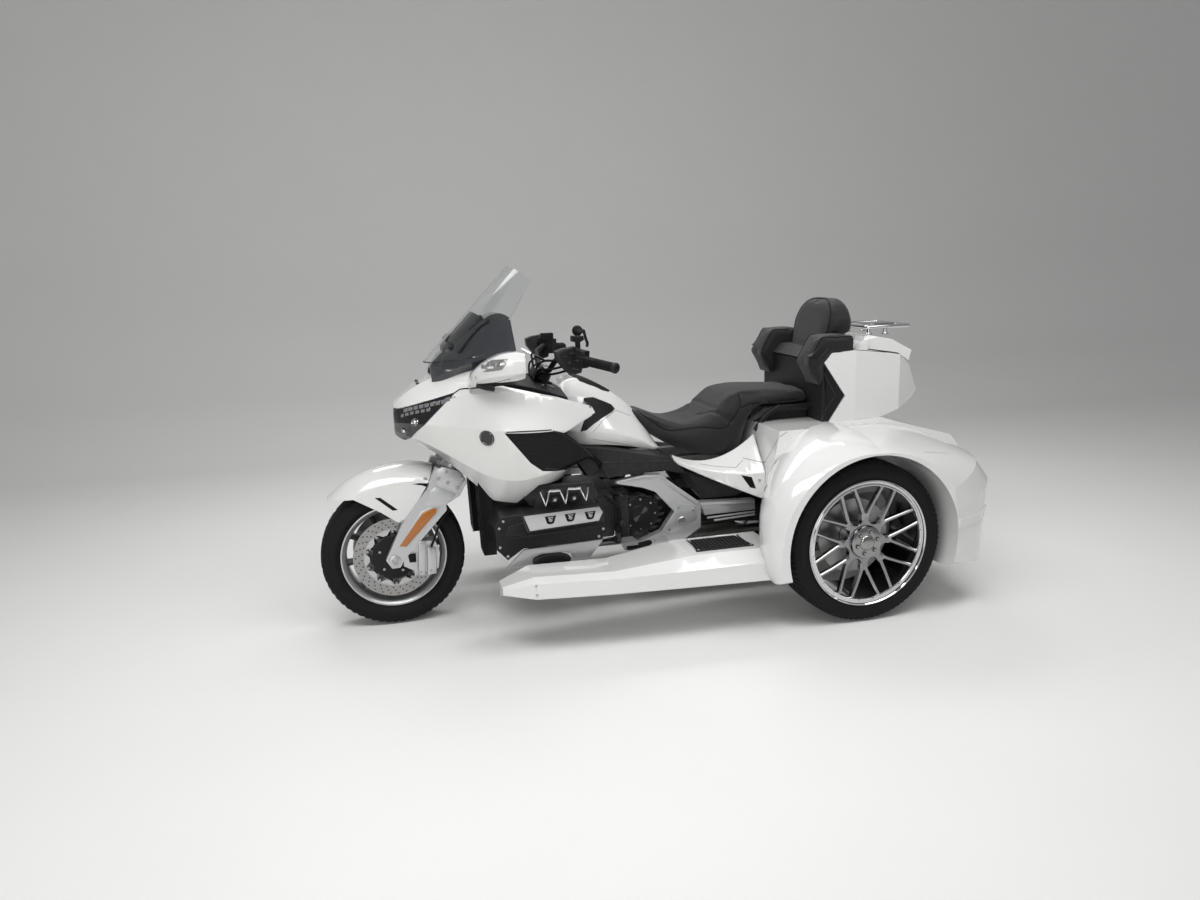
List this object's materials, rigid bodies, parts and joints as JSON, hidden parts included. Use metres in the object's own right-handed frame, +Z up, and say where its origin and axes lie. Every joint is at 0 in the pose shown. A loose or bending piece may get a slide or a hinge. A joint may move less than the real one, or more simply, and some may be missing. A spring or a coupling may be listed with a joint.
{
  "type": "touring motorcycle",
  "caption": "White full-dress touring motorcycle as a three-wheeler, with steered front wheel, turning wheels, opening trunk lid and boot lid.",
  "frame": {"origin": "on the ground, at the middle of the footprint: half way between the front tyre's foremost point and the plate holder's rear face, on the centre plane", "axes": "+X towards the rear, -X is forward; -Y is the rider's left side; +Z up"},
  "size_m": [2.7099, 1.4, 1.4067],
  "materials": {
    "pearl_white": "gloss",
    "satin_black": "satin",
    "gloss_black": "gloss",
    "smoked": "gloss",
    "seat_vinyl": "satin",
    "cast_silver": "satin",
    "engine_metal": "satin",
    "dark_chrome": "polished",
    "bright_chrome": "polished",
    "disc_steel": "brushed",
    "tyre_rubber": "matte",
    "grip_rubber": "matte",
    "clear_screen": "clear",
    "clear_lens": "clear",
    "red_lens": "gloss"
  },
  "bodies": {
    "chassis": {"main_frame": "cast_silver", "front_frame": "satin_black", "engine_block": "engine_metal", "cylinder_heads": "engine_metal", "engine_trims": "cast_silver", "gearbox": "engine_metal", "radiators": "satin_black", "exhaust": "dark_chrome", "rear_axle": "satin_black", "front_cowl": "pearl_white", "headlights": "clear_lens", "fairing_left": "pearl_white", "fairing_right": "pearl_white", "vent_panels": "satin_black", "side_covers": "satin_black", "tank_cover": "pearl_white", "dash_cowl": "satin_black", "windscreen": "clear_screen", "screen_cowl": "smoked", "mirrors": "pearl_white", "seat": "seat_vinyl", "backrest": "seat_vinyl", "grab_rails": "satin_black", "trunk_body": "pearl_white", "trunk_panels": "satin_black", "seat_cowls": "pearl_white", "rear_body": "pearl_white", "rear_bumper": "pearl_white", "running_boards": "pearl_white", "step_mats": "satin_black", "foot_controls": "cast_silver", "tail_lamps": "red_lens", "plate_holder": "satin_black"},
    "fork": {"fork": "cast_silver", "front_fender": "pearl_white", "calipers": "dark_chrome"},
    "handlebar": {"handlebar": "satin_black", "hand_controls": "grip_rubber"},
    "front_wheel": {"front_rim": "dark_chrome", "front_tyre": "tyre_rubber", "front_discs": "disc_steel"},
    "rear_wheel_left": {"rear_rim_left": "dark_chrome", "rear_tyre_left": "tyre_rubber"},
    "rear_wheel_right": {"rear_rim_right": "dark_chrome", "rear_tyre_right": "tyre_rubber"},
    "trunk_lid": {"trunk_lid": "pearl_white", "luggage_rack": "bright_chrome"},
    "boot_lid": {"boot_lid": "pearl_white"}
  },
  "joints": [
    {"name": "steer", "type": "hinge", "parent": "chassis", "child": "fork", "pos_m": [-1.18, 0, 0], "axis": [0.5075, 0, 0.8616], "range_deg": [-30, 30]},
    {"name": "bar_turn", "type": "hinge", "parent": "chassis", "child": "handlebar", "pos_m": [-0.453, 0, 0.94], "axis": [0.4384, 0, 0.8988], "range_deg": [-30, 30]},
    {"name": "front_wheel_spin", "type": "hinge", "parent": "fork", "child": "front_wheel", "pos_m": [-1.071, 0, 0.284], "axis": [0, 1, 0], "continuous": true},
    {"name": "rear_wheel_left_spin", "type": "hinge", "parent": "chassis", "child": "rear_wheel_left", "pos_m": [0.699, -0.533, 0.32], "axis": [0, 1, 0], "continuous": true},
    {"name": "rear_wheel_right_spin", "type": "hinge", "parent": "chassis", "child": "rear_wheel_right", "pos_m": [0.699, 0.533, 0.32], "axis": [0, 1, 0], "continuous": true},
    {"name": "trunk_lid_hinge", "type": "hinge", "parent": "chassis", "child": "trunk_lid", "pos_m": [0.895, 0, 1.052], "axis": [0, -1, 0], "range_deg": [0, 50]},
    {"name": "boot_lid_hinge", "type": "hinge", "parent": "chassis", "child": "boot_lid", "pos_m": [1.26, 0, 0.59], "axis": [0, -1, 0], "range_deg": [0, 80]}
  ],
  "couplings": [
    {"joint": "bar_turn", "follows": "steer", "ratio": 1}
  ]
}
